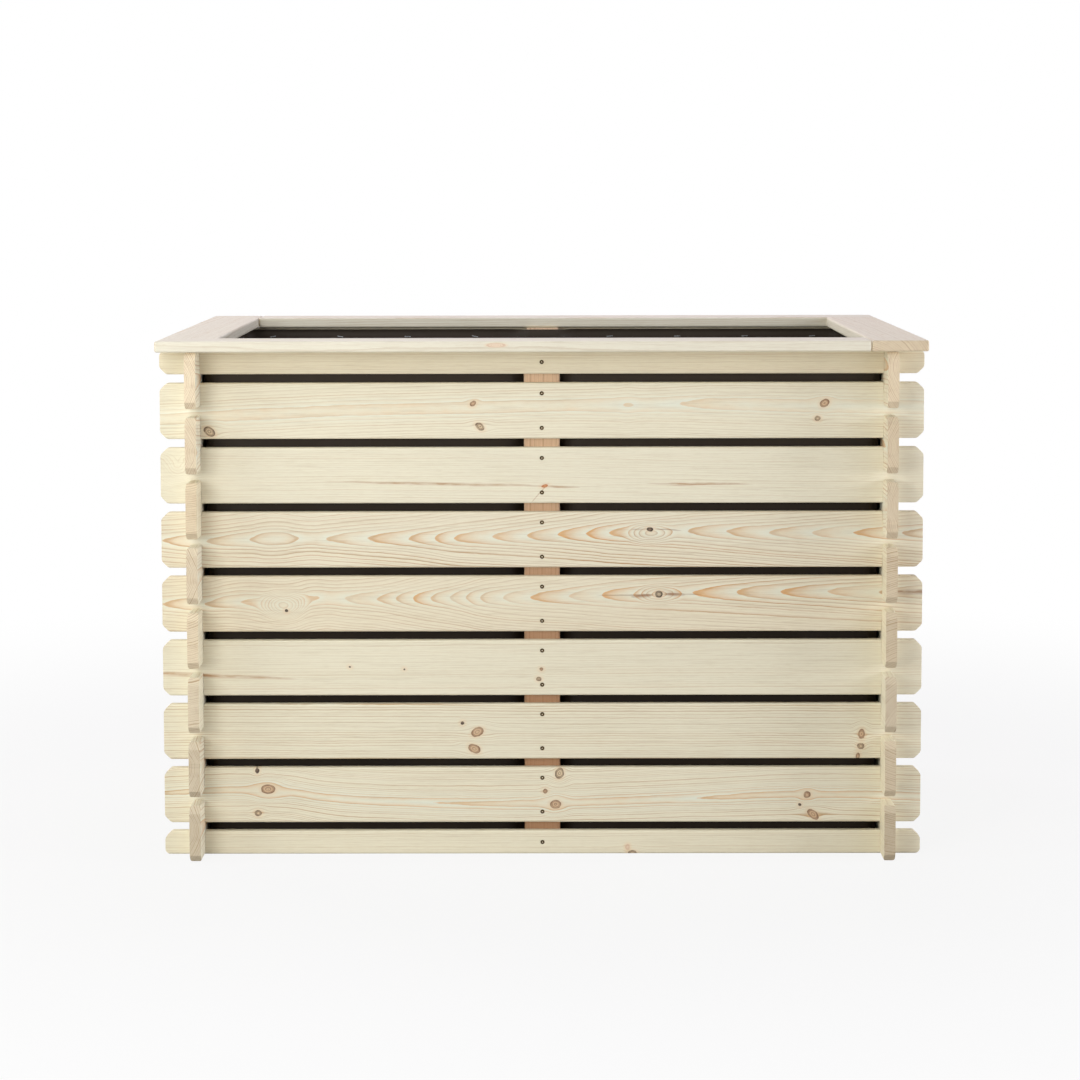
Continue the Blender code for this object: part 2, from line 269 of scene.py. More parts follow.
def board_blank(length, height, low_clip, high_clip, easing):
    blank = planed_blank(length, BOARD_THICKNESS, height, "X")
    for end in (-1, 1):
        clip_corner(blank, length, end, 0.0, 1, low_clip, easing)
        clip_corner(blank, length, end, height, -1, high_clip, easing)
    return blank


# %% [markdown]
# Screw holes. A countersunk hole is a profile spun round its axis, as on a lathe. Every cutter
# reaches past the board, because one that ends flush with a face leaves it undecided which side is
# wood.

# %% Screw holes
CUT_PAST = 0.010
SCREW_HEAD_RADIUS, SCREW_SHANK_RADIUS = 0.003, 0.0015
SCREW_HEAD_DEPTH, SCREW_SINK, SCREW_POINT, SCREW_SIDES = 0.0018, 0.0006, 0.004, 24
BITE_OF_BATTEN, BITE_OF_WALL = 0.012, 0.018
BATTEN_SCREW_LENGTH = BOARD_THICKNESS + FIT + BITE_OF_BATTEN - SCREW_SINK
RIM_SCREW_LENGTH = RIM_THICKNESS + FIT + BITE_OF_WALL - SCREW_SINK
INTO_WALL = Matrix.Rotation(math.pi / 2, 4, "X")


def turned_shape(profile):
    """Spins a profile of (radius, height) points about Z into a closed shape."""
    lathe = bmesh.new()
    points = [lathe.verts.new((radius, 0, height)) for radius, height in profile]
    edges = [lathe.edges.new(pair) for pair in zip(points, points[1:])]
    bmesh.ops.spin(lathe, geom=points + edges, axis=(0, 0, 1), cent=(0, 0, 0), angle=2 * math.pi,
                   steps=SCREW_SIDES, use_merge=True)
    bmesh.ops.remove_doubles(lathe, verts=lathe.verts, dist=1e-6)
    bmesh.ops.recalc_face_normals(lathe, faces=lathe.faces)
    return lathe


def screw_hole(name, length):
    """The hole that clears a countersunk screw sunk into a face at Z = 0."""
    head, shank = SCREW_HEAD_RADIUS + FIT, SCREW_SHANK_RADIUS + FIT
    tip = -SCREW_SINK - length - FIT
    return new_mesh(name, turned_shape([
        (0, CUT_PAST), (head, CUT_PAST), (head, -SCREW_SINK),
        (shank, -SCREW_SINK - SCREW_HEAD_DEPTH - FIT), (shank, tip + SCREW_POINT), (0, tip)]))


BATTEN_SCREW_HOLE = screw_hole("batten_screw_hole", BATTEN_SCREW_LENGTH)
RIM_SCREW_HOLE = screw_hole("rim_screw_hole", RIM_SCREW_LENGTH)


def batten_holes(name, face, heights):
    """The holes of a batten's screws, whose heads lie in a face."""
    places = [Matrix.Translation((0, face, z)) @ INTO_WALL for z in heights]
    return workpiece(name, gather(BATTEN_SCREW_HOLE, places))


def rim_holes(name, places):
    return workpiece(name, gather(RIM_SCREW_HOLE, [Matrix.Translation(place) for place in places]))


print("screw lengths:", round(BATTEN_SCREW_LENGTH, 4), round(RIM_SCREW_LENGTH, 4))

# %% [markdown]
# Notches. Where two walls cross, each board is notched to half the lap, so that the boards lock and
# every second course carries the one before it.

# %% Notches
NOTCH_DEPTH = (HALF_BOARD_HEIGHT + FIT) / 2
NOTCH_WIDTH = BOARD_THICKNESS + 2 * FIT


def notches(name, crossing, edges):
    """The cutter of a board's laps: a slot at both ends, for each (edge height, way in)."""
    slots = bmesh.new()
    for x in (-crossing, crossing):
        for height, inward in edges:
            low, high = sorted((height + inward * NOTCH_DEPTH, height - inward * CUT_PAST))
            add_box(slots, (NOTCH_WIDTH, BOARD_THICKNESS + 2 * CUT_PAST, high - low),
                    (x, 0, (low + high) / 2))
    return workpiece(name, slots)


print("notch:", round(NOTCH_WIDTH, 4), "wide,", round(NOTCH_DEPTH, 4), "deep")

# %% [markdown]
# The five kinds of wall board. A whole board has notches in both edges. The half boards that close
# the front and the back have them in their inner edge only. Only the topmost boards are drilled for
# the rim's screws. Each kind is carved once and then copied.

# %% The five kinds of wall board
RIM_SCREW_INSET, SCREW_EDGE_INSET = 0.150, 0.0155


def rim_run(wall_span):
    """The length and the middle of a rim board, which makes room for the next."""
    taken = RIM_WIDTH + FIT
    return wall_span - taken, -taken / 2


def rim_screw_places(wall_span, count):
    """Where the rim screws stand along a wall."""
    length, middle = rim_run(wall_span)
    spacing = (length - 2 * RIM_SCREW_INSET) / (count - 1)
    return [middle + (i - (count - 1) / 2) * spacing for i in range(count)]


LONG_RIM_SCREWS, SHORT_RIM_SCREWS = rim_screw_places(BED_LENGTH, 3), rim_screw_places(BED_WIDTH, 2)
FULL_SCREWS = [SCREW_EDGE_INSET, BOARD_HEIGHT - SCREW_EDGE_INSET]
HALF_SCREWS = [HALF_BOARD_HEIGHT / 2]
FOOT_EDGE, TOP_EDGE, HALF_TOP_EDGE = (0.0, 1), (BOARD_HEIGHT, -1), (HALF_BOARD_HEIGHT, -1)


def wall_board(name, span, height, edges, clips=(CORNER_CLIP, CORNER_CLIP), screws=(),
               rim_screws=(), foot=0.0):
    """A board with its notches and screw holes."""
    crossing, easing = (SHORT_WALL_AT, LONG_EASING) if span == BED_LENGTH else (
        LONG_WALL_AT, SHORT_EASING)
    cutters = [notches(name + "_notches", crossing, edges)]
    if screws:
        cutters.append(batten_holes(name + "_holes", -BOARD_THICKNESS / 2, screws))
    if rim_screws:
        cutters.append(rim_holes(name + "_rim_holes", [(x, 0, RIM_TOP - foot) for x in rim_screws]))
    board = carved_mesh(name, board_blank(span, height, *clips, easing), cutters)
    print(name, len(board.polygons), "faces")
    return board


LONG_BOARD = wall_board("long_board", BED_LENGTH, BOARD_HEIGHT, [FOOT_EDGE, TOP_EDGE],
                        screws=FULL_SCREWS)
FOOT_HALF_BOARD = wall_board("foot_half_board", BED_LENGTH, HALF_BOARD_HEIGHT, [HALF_TOP_EDGE],
                             (OUTER_CLIP, CORNER_CLIP), HALF_SCREWS)
TOP_HALF_BOARD = wall_board("top_half_board", BED_LENGTH, HALF_BOARD_HEIGHT, [FOOT_EDGE],
                            (CORNER_CLIP, OUTER_CLIP), HALF_SCREWS, LONG_RIM_SCREWS,
                            TOP_HALF_BOARD_FOOT)
SHORT_BOARD = wall_board("short_board", BED_WIDTH, BOARD_HEIGHT, [FOOT_EDGE, TOP_EDGE])
SHORT_TOP_BOARD = wall_board("short_top_board", BED_WIDTH, BOARD_HEIGHT, [FOOT_EDGE, TOP_EDGE],
                             rim_screws=SHORT_RIM_SCREWS, foot=TOP_BOARD_FOOT)

# %% [markdown]
# Shader sums as Python. A Wire is one output of a node. Adding or multiplying wires adds a Math
# node, so that a formula reads as a formula. Nodes.node adds every other kind of node.

# %% Wires
class Wire:
    """One output of a node that Python can do sums with."""

    def __init__(self, nodes, socket):
        self.nodes, self.socket = nodes, socket

    def math(self, operation, *others):
        return self.nodes.math(operation, self, *others)

    def __rsub__(self, other):
        return self.nodes.math("SUBTRACT", other, self)

    __add__ = partialmethod(math, "ADD")
    __sub__ = partialmethod(math, "SUBTRACT")
    __mul__ = partialmethod(math, "MULTIPLY")
    __truediv__ = partialmethod(math, "DIVIDE")
    __pow__ = partialmethod(math, "POWER")
    __abs__ = partialmethod(math, "ABSOLUTE")
    at_least = partialmethod(math, "MAXIMUM")
    at_most = partialmethod(math, "MINIMUM")


def colour(value):
    """Linear colour from 0 to 255 display values. A wire stays a wire."""
    if isinstance(value, Wire):
        return value
    return (*(((v / 255 + 0.055) / 1.055) ** 2.4 if v > 10 else v / 255 / 12.92 for v in value),
            1.0)


# %% Nodes
MIX_FACTOR, MIX_FIRST, MIX_SECOND, MIX_RESULT = 0, 6, 7, 2


class Nodes:
    """Short ways to add nodes to a node tree."""

    def __init__(self, tree):
        self.tree = tree

    def feed(self, socket, value):
        if isinstance(value, Wire):
            self.tree.links.new(value.socket, socket)
        else:
            socket.default_value = value

    def node(self, kind, sockets=None, output=0, **settings):
        """Adds a node with its settings and sockets. Gives one output."""
        made = self.tree.nodes.new("ShaderNode" + kind)
        for setting, value in settings.items():
            setattr(made, setting, value)
        for name, value in (sockets or {}).items():
            self.feed(made.inputs[name], value)
        return Wire(self, made.outputs[output])

    def math(self, operation, *values):
        return self.node("Math", dict(enumerate(values)), operation=operation)

    def multiply_add(self, vector, factor, offset):
        sockets = {0: vector, 1: factor, 2: offset}
        return self.node("VectorMath", sockets, operation="MULTIPLY_ADD")

    def length(self, vector):
        return self.node("VectorMath", {0: vector}, "Value", operation="LENGTH")

    def part(self, vector, axis):
        return self.node("SeparateXYZ", {0: vector}, axis)

    def noise(self, vector, scale=1.0, detail=2.0, roughness=0.5):
        """Noise from about -0.5 to 0.5."""
        sockets = {"Vector": vector, "Scale": scale, "Detail": detail, "Roughness": roughness}
        return self.node("TexNoise", sockets, "Fac") - 0.5

    def step(self, value, start, end, low=0.0, high=1.0):
        """A soft step from low at start to high at end."""
        sockets = {"Value": value, "From Min": start, "From Max": end, "To Min": low,
                   "To Max": high}
        return self.node("MapRange", sockets, interpolation_type="SMOOTHSTEP")

    def mix(self, mask, first, second):
        """The first colour where the mask is 0, and the second where it is 1."""
        sockets = {MIX_FACTOR: mask, MIX_FIRST: colour(first), MIX_SECOND: colour(second)}
        return self.node("Mix", sockets, MIX_RESULT, data_type="RGBA")

    def ramp(self, value, stops):
        """A colour ramp in greys, from stops of (place, level)."""
        wire = self.node("ValToRGB", {0: value})
        elements = wire.socket.node.color_ramp.elements
        while len(elements) < len(stops):
            elements.new(0.5)
        for element, (position, level) in zip(elements, stops):
            element.position, element.color = position, (level, level, level, 1.0)
        return wire

    def curve(self, value, points):
        wire = self.node("FloatCurve", {"Value": value})
        mapping = wire.socket.node.mapping
        curve = mapping.curves[0]
        while len(curve.points) < len(points):
            curve.points.new(0.5, 0.5)
        for point, place in zip(curve.points, points):
            point.location = place
        mapping.update()
        return wire

    def seen_rays(self):
        """1 for rays that are seen, straight, mirrored or through glass, and 0 for the rest."""
        camera, mirrored, clear = (self.node("LightPath", output=f"Is {kind} Ray")
                                   for kind in ("Camera", "Glossy", "Transmission"))
        return camera.math("MAXIMUM", mirrored).math("MAXIMUM", clear)


# %% Finishes
class Finish(Nodes):
    def __init__(self, name):
        self.material = bpy.data.materials.new(name)
        self.material.use_nodes = True
        super().__init__(self.material.node_tree)
        self.shader = self.tree.nodes["Principled BSDF"]
        self.point = self.node("TexCoord", output="Object")

    def dress(self, sockets):
        """Feeds the shader, and gives the material."""
        for name, value in sockets.items():
            self.feed(self.shader.inputs[name], value)
        return self.material


# %% [markdown]
# Pine. A sawn board is a flat slice through a stack of cones: the year rings round the pith. Near
# the pith's own line the slice shows arches, and away from it straight lines, so one formula gives
# both: the distance to the pith, counted in rings. Colours are written as an eye sees them, from 0
# to 255.

# %% The colours of pine
BOARD_WOOD = {"early": (236, 229, 205), "cool": (228, 231, 217), "late": (186, 163, 128),
              "warm": (198, 163, 120), "fill": (230, 188, 138), "end": (224, 208, 180),
              "end_late": (178, 148, 114), "stain": (230, 194, 150), "resin": (176, 134, 94)}
ARCH_WOOD = dict(BOARD_WOOD, early=(233, 226, 204), late=(174, 142, 100), warm=(196, 150, 102),
                 fill=(222, 174, 118), resin=(142, 98, 62))
RIM_WOOD = dict(BOARD_WOOD, early=(236, 230, 211))
BATTEN_WOOD = dict(BOARD_WOOD, early=(240, 208, 174), cool=(244, 216, 184), late=(196, 152, 116),
                   warm=(172, 122, 84))
KNOT_WOOD = {"sound": ((204, 172, 138), (136, 104, 78)), "ring": ((212, 190, 156), (108, 84, 64)),
             "dark": ((112, 86, 68), (52, 40, 32)), "faint": ((234, 214, 190), (216, 186, 158)),
             "socket": ((184, 166, 138), (62, 48, 36)), "resin": ((212, 156, 110), (190, 120, 74))}
print("kinds of knot:", *KNOT_WOOD)

# %% [markdown]
# A board's own directions. Grain runs along a board, whichever way it is turned, so its finish
# first turns the point back into the board's own place. Noise is then drawn out along the grain.
# What sets a board apart is a mark.

# %% Pine as a finish
PLAIN_PINE = {"wood": BOARD_WOOD, "heart": (0.12, 0.04), "drift": 0.0, "ring": 0.0030,
              "pith": 18.0, "arches": None, "swells": (), "knots": (), "streaks": (), "tone": 1.0,
              "warmth": 0.0, "contrast": 1.0, "lean": 0.0, "fill": 0.95, "damp_foot": 0.0,
              "end_tone": 1.0, "knot_middle": 0.0, "knot_depth": 1.0}
BEND_SCALE, BLUE_LOSS = 90.0, 2.5


class Pine(Finish):
    """The finish of one board, whose axes run along, across and into it."""

    def __init__(self, name, place, axes, seed, marks):
        super().__init__(name)
        self.axes, self.chance = axes, random.Random(seed)
        for mark, value in {**PLAIN_PINE, **marks}.items():
            setattr(self, mark, value)
        self.local = self.node("Mapping", {
            "Vector": self.point, "Location": place.translation, "Rotation": place.to_euler()},
            vector_type="TEXTURE")
        self.along, self.across, self.into = (self.part(self.local, axis) for axis in axes)
        self.spot = self.node("CombineXYZ", {0: self.along, 1: self.across, 2: self.into})
        grain_way = place.to_3x3() @ Vector([float(axes[0] == axis) for axis in "XYZ"])
        self.facing = self.part(self.node("NewGeometry", output="Normal"), main_axis(grain_way))

    def grain(self, per_metre_along, per_metre_across, detail=2.0, roughness=0.5):
        """Noise drawn out along the grain, from about -0.5 to 0.5."""
        scale = [per_metre_along if axis == self.axes[0] else per_metre_across for axis in "XYZ"]
        offset = [self.chance.uniform(-50, 50) for _ in "XYZ"]
        stretched = self.multiply_add(self.local, scale, offset)
        return self.noise(stretched, 1.0, detail, roughness)

    def shade(self, kind, level=1.0):
        """One of the wood's colours in this board's tone."""
        red, green, blue = self.wood[kind]
        level *= self.tone
        return (red * level, green * level * (1 - self.warmth),
                blue * level * (1 - BLUE_LOSS * self.warmth))

    def paint(self, mask, shade):
        self.surface = self.mix(mask, self.surface, shade)

    def oval(self, along, across, length, height, tilt=0.0, wobble=0.0015, wide=1.0, tall=1.0):
        """How far a point is from the middle of an oval on the face, where 1 is its outline."""
        bends = {"Vector": self.local, "Scale": BEND_SCALE, "Detail": 3.0}
        bent = self.node("TexNoise", bends, "Color")
        spot = self.multiply_add(bent, (2 * wobble, 2 * wobble, 0), self.spot)
        placed = self.node("Mapping", {
            "Vector": spot, "Location": (along + wobble, across + wobble, self.knot_middle),
            "Rotation": (0, 0, math.radians(tilt)),
            "Scale": (length / 2 * wide, height / 2 * tall, self.knot_depth)},
            vector_type="TEXTURE")
        return self.length(placed)


# %% [markdown]
# Year rings. Each ring starts pale and ends in a thin darker line. Waves keep the lines from being
# straight, and a knot, which is a branch cut across, pushes them aside. A swell adds closed rings
# of its own. The two curves of an arched board give the height of the arches' points and the rings
# crossed so far.

# %% Year rings
WAVES = ((2.0, 6.0, 0.010), (10.0, 30.0, 0.0024), (45.0, 130.0, 0.0012))
PUSHED_WIDE, PUSHED_TALL, PUSH = 4.2, 3.8, 0.86
ARCH_REACH, RING_LIFT, RING_SPAN = 0.1, 2.0, 22.0
RING_LINE = [(0.0, 0.0), (0.40, 0.02), (0.74, 0.22), (0.91, 1.0), (0.97, 0.9), (1.0, 0.0)]


def count_rings(board):
    """Counts the year rings from the pith to a point."""
    level = board.across
    for along, across, reach in WAVES:
        level = level + board.grain(along, across) * reach
    if not board.swells:
        for _, along, across, length, height, _ in board.knots:
            off = board.oval(along, across, length, height, wide=PUSHED_WIDE, tall=PUSHED_TALL)
            level = level - (board.across - across) * board.step(off, 0.1, 1.0, PUSH, 0.0)
    if board.arches:
        centre, count = board.arches
        run = (board.along + BED_LENGTH / 2) / BED_LENGTH
        board.sideways = abs(level - board.curve(run, centre) * ARCH_REACH)
        spread = (board.sideways / board.ring) ** 1.75 * 1.8
        deep = (board.into + BOARD_THICKNESS / 2) / board.ring + board.pith
        crossed = board.curve(run, count) * RING_SPAN - (RING_LIFT + board.pith)
        crossed = crossed + board.grain(9.0, 40.0) * 0.14 + board.grain(60.0, 110.0) * 0.24
    else:
        board.sideways = level - board.heart[0]
        spread = abs(board.sideways / board.ring) ** 2.0
        deep = (board.along * board.drift + board.heart[1] + board.into) / board.ring
        crossed = board.grain(60.0, 110.0) * 0.2
    rings = (spread + deep * deep).math("SQRT") + crossed
    board.in_swell = 0.0
    for *swell, count in board.swells:
        inside = board.step(board.oval(*swell, wobble=0.002), 1.0, 0.0)
        rings = rings + inside * count
        board.in_swell = inside * 2.0 + board.in_swell
    return rings


def draw_rings(board, rings):
    """Draws each ring's late line, by its own luck, and lets it fade in places."""
    wander = {"W": rings * 0.35 + board.chance.uniform(0, 90), "Scale": 1.0, "Detail": 1.0}
    wander = board.node("TexNoise", wander, "Fac", noise_dimensions="1D")
    uneven = board.step(board.sideways, 0.006, 0.022) if board.arches else 1.0
    rings = rings + wander * 1.6 * uneven
    board.turn = rings.math("FRACT")
    number = {"W": rings.math("FLOOR") + board.chance.randint(0, 900)}
    board.luck = board.node("TexWhiteNoise", number, "Value", noise_dimensions="1D")
    line = board.ramp(board.turn, RING_LINE)
    fading = (board.grain(5.0, 24.0) * 1.6 + 0.85).at_least(0.15)
    board.late = line * (board.luck * 0.8 + 0.25) * fading


# %% [markdown]
# The surface. Over pale early wood with slow clouds lie the late line of each ring, the orange fill
# of the arches and the fibres. An upright batten gets painted shade, darker towards its foot.

# %% The surface of the wood
FOOT_SHADE_TO = 0.20


def colour_wood(board):
    board.fibre = board.grain(14.0, 420.0, 3.0, 0.6)
    hair = board.grain(70.0, 1500.0, 2.0, 0.6)
    cloud = board.grain(3.0, 14.0)
    board.surface = board.mix(cloud * 0.9 + 0.5, board.shade("early", 0.972),
                              board.shade("early", 1.010))
    if board.arches:
        near = board.step(board.sideways, 0.024, 0.004)
        board.paint(near * (1 - board.turn) ** 2.0 * 0.75, board.shade("cool"))
    late_wood = board.mix(board.luck * 1.4 - 0.5, board.shade("late"), board.shade("warm"))
    stronger = (BOARD_HEIGHT / 2 - board.across) * (board.lean * 2 / BOARD_HEIGHT) + 1.0
    board.paint(board.late * stronger * (board.contrast * 0.7), late_wood)
    if board.arches:
        patchy = board.luck * 0.8 + board.grain(9.0, 30.0) * 1.2
        patchy = patchy + board.grain(40.0, 90.0) * 1.4 + 0.15
        patchy = patchy.at_least(0.0).at_most(1.0)
        patchy = patchy * board.step(abs(board.along), 0.53, 0.40, 0.35, 1.0)
        fill = board.step(board.sideways, 0.017, 0.001) * board.turn ** 2.0 * patchy
        board.paint(fill * (1 - board.in_swell) * board.fill, board.shade("fill"))
    board.paint((board.fibre * 0.9).at_least(0.0), board.shade("late", 0.96))
    board.paint((hair * 0.60).at_least(0.0), board.shade("late", 0.92))
    board.paint((hair * -0.6).at_least(0.0), board.shade("cool", 1.02))
    # Painted shade: a batten is painted darker and warmer towards its foot, where less light
    # reaches it.
    if board.damp_foot:
        in_shade = board.step(board.along, WALL_HEIGHT, FOOT_SHADE_TO)
        board.paint(in_shade * board.damp_foot, board.shade("warm"))


# %% [markdown]
# Streaks and knots. A resin streak is a thin wavering line. A knot has a stain round it, its own
# wood and rings, and a bark line, which all go by the distance in metres from its outline. Knots of
# one kind share their nodes, so that ten knots are not ten times as slow.

# %% Streaks and knots
KNOT_WOBBLE, KNOT_RINGS_PER_METRE = 0.0014, 2100.0


def add_streaks(board):
    for start, end, low, high, width in board.streaks:
        run = (board.along - start) / (end - start)
        taper = (run * (1 - run)).at_least(0.0).math("SQRT") * 2
        off = board.across - (run * (high - low) + low) + board.grain(24.0, 60.0, 3.0) * 0.0036
        mark = board.step(abs(off) / (taper * width * 0.5 + 0.00005), 1.4, 0.1)
        broken = (board.grain(50.0, 300.0) * 1.6 + 0.62).at_least(0.1)
        board.paint(mark * broken * taper.at_most(1.0), board.shade("resin"))


def add_knots(board):
    outlines = {}
    for kind, along, across, length, height, tilt in board.knots:
        size = (length + height) / 4
        off = board.oval(along, across, length, height, tilt, KNOT_WOBBLE)
        off = off.math("MULTIPLY_ADD", size, -size)
        outlines[kind] = outlines[kind].at_most(off) if kind in outlines else off
    board.rough = board.fibre * 0.12 + 0.58
    for kind, off in outlines.items():
        fill, bark = KNOT_WOOD[kind]
        ragged = off + board.grain(230.0, 260.0, 3.0) * 0.0012
        board.paint(board.step(ragged, 0.0060, 0.0, 0.0, 0.30), board.shade("stain"))
        board.paint(board.step(ragged, 0.0004, -0.0006) * 0.88, fill)
        inner = (ragged * KNOT_RINGS_PER_METRE).math("SINE") * 0.5
        inner = inner + board.grain(160.0, 200.0) * 1.3 + 0.30
        inner = inner * board.step(ragged, 0.0, -0.0015)
        board.paint(inner.at_least(0.0) * 0.75, bark)
        edge = board.step(ragged, 0.0006, -0.0001) * board.step(ragged, -0.0022, -0.0009)
        board.paint(edge * (board.grain(150.0, 150.0) * 1.8 + 0.80), bark)
        board.rough = board.rough - board.step(ragged, 0.0005, -0.0005) * 0.12


# %% [markdown]
# The whole pine. Sawn ends are duller than planed faces, and show the pores as specks. The face's
# direction tells an end from a side, so both share one material.

# %% The whole pine
PORES_PER_METRE, BLOTCHES_PER_METRE = 1500.0, 70.0


def pine(name, place, axes, seed, **marks):
    """The pine of one board, with its own marks."""
    board = Pine(name, place, axes, seed, marks)
    draw_rings(board, count_rings(board))
    colour_wood(board)
    add_streaks(board)
    add_knots(board)
    sawn = board.step(abs(board.facing), 0.25, 0.85)
    pores = board.noise(board.local, PORES_PER_METRE)
    blotch = board.noise(board.local, BLOTCHES_PER_METRE, 3.0).at_least(0.0)
    dark = board.late * 1.3 + (pores * 1.2).at_least(0.0) + blotch * 0.9
    end_wood = board.mix(dark, board.shade("end", board.end_tone),
                         board.shade("end_late", board.end_tone))
    height = board.fibre + board.late * 0.25 + sawn * pores * 1.5
    return board.dress({
        "Base Color": board.mix(sawn * 0.9, board.surface, end_wood),
        "Roughness": board.rough + sawn * 0.15, "Specular IOR Level": 0.35,
        "Normal": board.node("Bump", {"Height": height, "Strength": 0.35, "Distance": 0.0006})})


# %% [markdown]
# What sets each front board apart, in millimetres from the middle of its foot. A knot is its kind,
# its place along and across, its length, its height and its tilt in degrees. A swell is alike, with
# the rings that it adds. A streak is its start and end, its heights there, and its width. The first
# five boards show straight lines.

# %% Marks of the straight-grained front boards
BOARD_MARKS = {
    "front_half_board_top": dict(tone=0.997, warmth=0.014, heart=(0.090, 0.040), contrast=0.8),
    "front_board_6": dict(
        warmth=-0.002, tone=1.0, heart=(-0.050, 0.050), drift=0.020, contrast=0.6,
        knots=[("resin", 4, 25.2, 9, 4, 10)], swells=[(-525, 44, 70, 74, 0, 7)],
        streaks=[(-310, 20, 32.0, 24.6, 4.2), (-6, 56, 24.6, 23.2, 3.6), (-16, 10, 1.0, 29.0, 2.6),
                 (150, 306, 27.8, 27.4, 3.4), (176, 260, 25.4, 26.6, 1.8)]),
    "front_board_3": dict(
        tone=0.993, warmth=0.0, heart=(0.160, 0.040), drift=0.010, contrast=0.7,
        knots=[("dark", -279, 41.9, 2.6, 2, 0), ("dark", -200, 38.8, 2.6, 2, 0),
               ("sound", -1, 38.6, 5, 4, 0), ("ring", -5, 23.9, 7, 6, 0)],
        streaks=[(-700, -350, 39.0, 24.0, 6.4)]),
    "front_board_2": dict(
        tone=0.990, warmth=0.0, heart=(0.150, 0.030), drift=-0.015, ring=0.0036, contrast=1.5,
        knots=[("sound", -94, 39.8, 18.5, 12.5, 25), ("sound", -99, 15.1, 18, 12.5, -25),
               ("dark", -116, 52.8, 5, 5, 0), ("sound", 464, 36.0, 9, 14.5, 0),
               ("ring", 463, 18.3, 10, 8.5, 0), ("sound", 459, 3.6, 6, 9, 0)]),
    "front_half_board_bottom": dict(
        tone=1.0, warmth=0.003, heart=(-0.090, 0.040), contrast=0.7,
        knots=[("ring", 131, 1.2, 12, 7, 0), ("faint", 124, 10.0, 6, 8, 0)]),
}
print("straight-grained:", *BOARD_MARKS)

# %% [markdown]
# The other front boards show arches. Each has two curves along the board: the height of the arches'
# points, and how many rings the face has crossed. Where the count falls by one, there is one more
# arch.

# %% Marks of the arched front boards
def falling(rings, *places):
    """Points of a ring count that falls by one from each place to the next."""
    return [(x, rings - i) for i, x in enumerate(places)]


BOARD_MARKS["front_board_7"] = dict(
    tone=1.006, warmth=0.001, ring=0.0022, contrast=1.2, fill=0.8,
    knots=[("sound", -99, 50.8, 9.5, 7, 45), ("sound", 407, 50.6, 14, 10, 30),
           ("ring", 397, 28.9, 8, 7, 0), ("ring", -89, 17.6, 14, 9, -35),
           ("ring", -479, 11.1, 17.5, 11.5, -35)],
    arches=([(-549, 30), (-200, 44), (193, 49.8), (400, 46), (549, 44)],
            [(-549, 2.5), (-280, 2.5), (-70, 2.42), (105, 2.2), (124, 1.95), (143, 2.2),
             (193, 2.0), (250, 1.5), (360, 1.3), (549, 1.2)]))
BOARD_MARKS["front_board_5"] = dict(
    tone=1.004, warmth=0.007, wood=ARCH_WOOD, ring=0.0023, contrast=1.6, lean=0.35,
    streaks=[(162, 202, 55.4, 53.6, 2.0), (128, 156, 55.0, 55.6, 1.2)],
    knots=[("dark", 156, 55.2, 9, 6, 0)], swells=[(156, 49, 84, 44, 0, -3.4)],
    arches=([(-549, 39), (-487, 39.3), (-386, 43.5), (-312, 43.4), (-127, 43.1), (121, 50),
             (211, 52), (328, 50.5), (451, 49.5), (549, 49)],
            [*falling(17, -549, -487, -422), (-386, 14.25), (-351, 15), (-332, 15.3),
             *falling(15, -312, -251, -194, -156, -127, -72, -23, 23, 64, 97, 150, 211, 267, 328,
                      389, 451), (549, -1.4)]))
BOARD_MARKS["front_board_4"] = dict(
    tone=1.0, warmth=0.013, wood=ARCH_WOOD, ring=0.0023, contrast=1.4,
    knots=[("socket", 169, 54.4, 10.5, 9.5, 0), ("dark", -370.5, 31, 4, 4, 0)],
    streaks=[(78, 164, 52.4, 53.6, 1.5), (128, 160, 50.8, 53.0, 6.0), (134, 162, 51.6, 53.4, 4.0),
             (174, 208, 54.2, 53.8, 6.0), (177, 200, 55.0, 54.0, 4.0), (200, 232, 54.0, 54.0, 1.4),
             (486, 612, 57.0, 57.4, 9.0)],
    swells=[(169, 54, 78, 40, 0, -3.2), (-374, 38, 84, 66, 0, -6)],
    arches=([(-550, 42), (-488, 42.4), (-443, 46), (-374, 42), (-323, 51), (-288, 49.4),
             (-133, 50), (85, 53), (278, 56), (414, 57.1), (550, 57)],
            [*falling(18, -550, -488, -435), (-380, 15.4), (-323, 16), (-306, 16.25),
             *falling(16, -288, -238, -211, -187, -161, -133, -110, -90, -58, -17, 39, 85, 133,
                      217, 278, 344, 414), (550, -1.8)]))
BOARD_MARKS["front_board_1"] = dict(
    tone=0.998, warmth=0.0, ring=0.0024, pith=6.0, contrast=1.5, fill=0.8,
    knots=[("sound", -399, 49.3, 20, 13.5, 0), ("dark", -415, 76.8, 6, 8, 0),
           ("ring", -414, 13.9, 10, 8.5, 0), ("ring", 25, 72.3, 12, 16, -15),
           ("sound", 4, 46, 6.5, 6, 0), ("sound", 19, 26.4, 15, 13, 0),
           ("sound", 385, 40.2, 10, 9, 0), ("dark", 375, 25.5, 4, 4, 0),
           ("sound", 394, 11.0, 20, 11, -40)],
    arches=([(-549, 44), (-399, 46), (-300, 34), (-158, 28.5), (40, 29), (250, 36), (385, 40),
             (549, 38)],
            [(-549, 3.8), (-450, 3.45), (-300, 3.3), (-158, 3.0), (-30, 2.45), (160, 2.3),
             (300, 1.6), (450, 1.4), (549, 1.3)]))
print("boards with marks of their own:", len(BOARD_MARKS))

# %% [markdown]
# The other boards get made-up marks. Each board has a seed of its own, so that every run gives the
# same bed.

# %% Marks in metres, and made-up marks
MM, ARCHED_SHARE = 0.001, 0.35


def in_metres(rows, first, last):
    """Rows with the values from first to last turned into metres."""
    return [(*row[:first], *(value * MM for value in row[first:last]), *row[last:])
            for row in rows]


